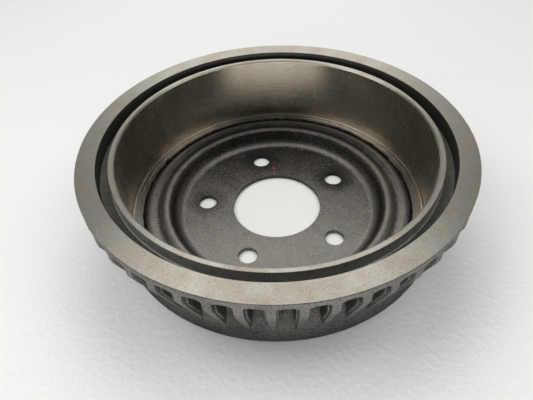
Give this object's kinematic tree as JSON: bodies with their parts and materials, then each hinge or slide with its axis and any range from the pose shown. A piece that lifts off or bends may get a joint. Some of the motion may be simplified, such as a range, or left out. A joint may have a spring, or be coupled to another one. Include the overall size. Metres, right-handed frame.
{
  "type": "brake drum",
  "caption": "Rear brake drum with a ribbed cast-iron ring, a machined braking surface and a pressed-steel web with a stud circle.",
  "frame": {"origin": "on the axle's axis, at the face of the web that seats on the road wheel", "axes": "+Z along the axle's axis from the road wheel towards the brake, so the drum rests with its open side up; +X and +Y across it, with a rib near -Y"},
  "size_m": [0.2794, 0.2794, 0.0715],
  "materials": {
    "iron": "as cast outside, fine-turned flange face and braking surface",
    "steel": "pressed sheet with a rough, dry surface"
  },
  "bodies": {
    "root": {"cast_iron_ring": "iron", "pressed_steel_web": "steel"}
  },
  "joints": []
}
